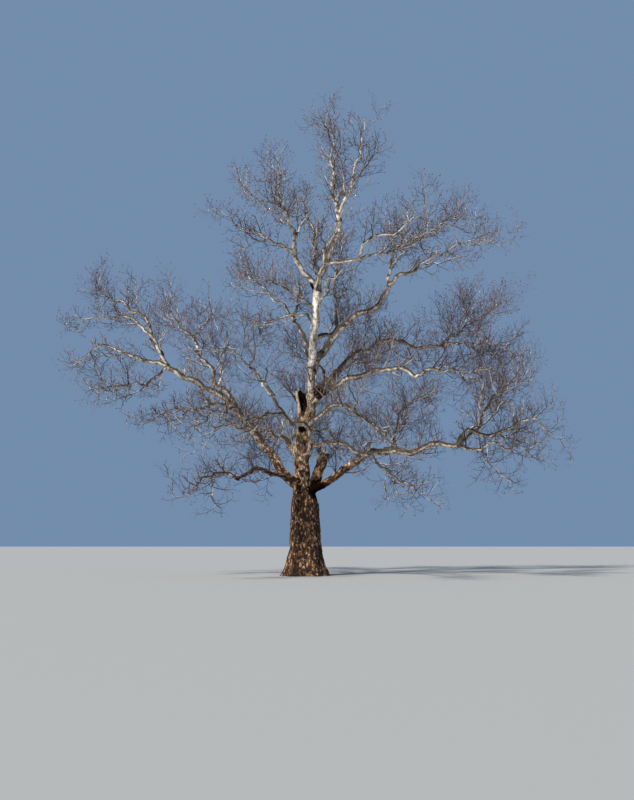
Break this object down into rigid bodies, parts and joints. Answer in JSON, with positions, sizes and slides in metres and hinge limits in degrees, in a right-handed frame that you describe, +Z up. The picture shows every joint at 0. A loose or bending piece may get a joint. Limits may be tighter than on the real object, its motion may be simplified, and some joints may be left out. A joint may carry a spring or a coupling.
{
  "type": "bare sycamore tree",
  "caption": "Old spreading plane tree in winter, without leaves: flared trunk, pale forking limbs, torn stubs and masses of fine twigs, rooted in level ground.",
  "frame": {"origin": "on the ground, at the middle of the flat cut under the trunk", "axes": "+Z up, +X to the right of the pictured side, +Y away from the viewer"},
  "size_m": [25.1659, 20.7753, 25.6577],
  "materials": {
    "old_bark": "rough rust-brown scaly bark of the trunk and lowest limbs",
    "pale_bark": "smooth cream-white bark with grey and tan plates",
    "twig_bark": "matt grey-brown to mauve twig bark"
  },
  "bodies": {
    "root": {"bough_back_high": "pale_bark", "bough_back_low": "pale_bark", "bough_back_mid": "pale_bark", "bough_front_left": "pale_bark", "bough_front_low": "old_bark", "bough_front_low_left": "old_bark", "bough_front_right": "pale_bark", "bough_left_leader": "pale_bark", "bough_left_low": "old_bark", "bough_left_low_far": "pale_bark", "bough_right_back": "pale_bark", "bough_right_crown": "pale_bark", "bough_right_high": "pale_bark", "bough_right_leader": "pale_bark", "bough_right_low": "old_bark", "bough_right_low_far": "pale_bark", "bough_right_mid": "pale_bark", "stub_broken": "old_bark", "stub_hollow": "old_bark", "trunk": "old_bark", "twigs_back_high_left": "twig_bark", "twigs_back_high_right": "twig_bark", "twigs_back_low_left": "twig_bark", "twigs_back_low_right": "twig_bark", "twigs_back_mid_left": "twig_bark", "twigs_back_mid_right": "twig_bark", "twigs_crown_back": "twig_bark", "twigs_front_crown": "twig_bark", "twigs_front_high": "twig_bark", "twigs_front_left_out": "twig_bark", "twigs_front_left_up": "twig_bark", "twigs_front_low_left_out": "twig_bark", "twigs_front_low_out": "twig_bark", "twigs_front_right_out": "twig_bark", "twigs_left_arm": "twig_bark", "twigs_left_low_back": "twig_bark", "twigs_left_low_fan": "twig_bark", "twigs_left_low_hang": "twig_bark", "twigs_left_low_out": "twig_bark", "twigs_left_low_side": "twig_bark", "twigs_left_low_under": "twig_bark", "twigs_left_low_up": "twig_bark", "twigs_left_mid": "twig_bark", "twigs_left_mid_front": "twig_bark", "twigs_left_reach": "twig_bark", "twigs_left_stem": "twig_bark", "twigs_right_back_out": "twig_bark", "twigs_right_back_up": "twig_bark", "twigs_right_crown_out": "twig_bark", "twigs_right_crown_up": "twig_bark", "twigs_right_high_out": "twig_bark", "twigs_right_high_up": "twig_bark", "twigs_right_low_inner": "twig_bark", "twigs_right_low_out": "twig_bark", "twigs_right_low_under": "twig_bark", "twigs_right_low_up": "twig_bark", "twigs_right_mid_out": "twig_bark", "twigs_right_stem": "twig_bark", "twigs_top_left": "twig_bark", "twigs_top_right": "twig_bark"}
  },
  "joints": []
}
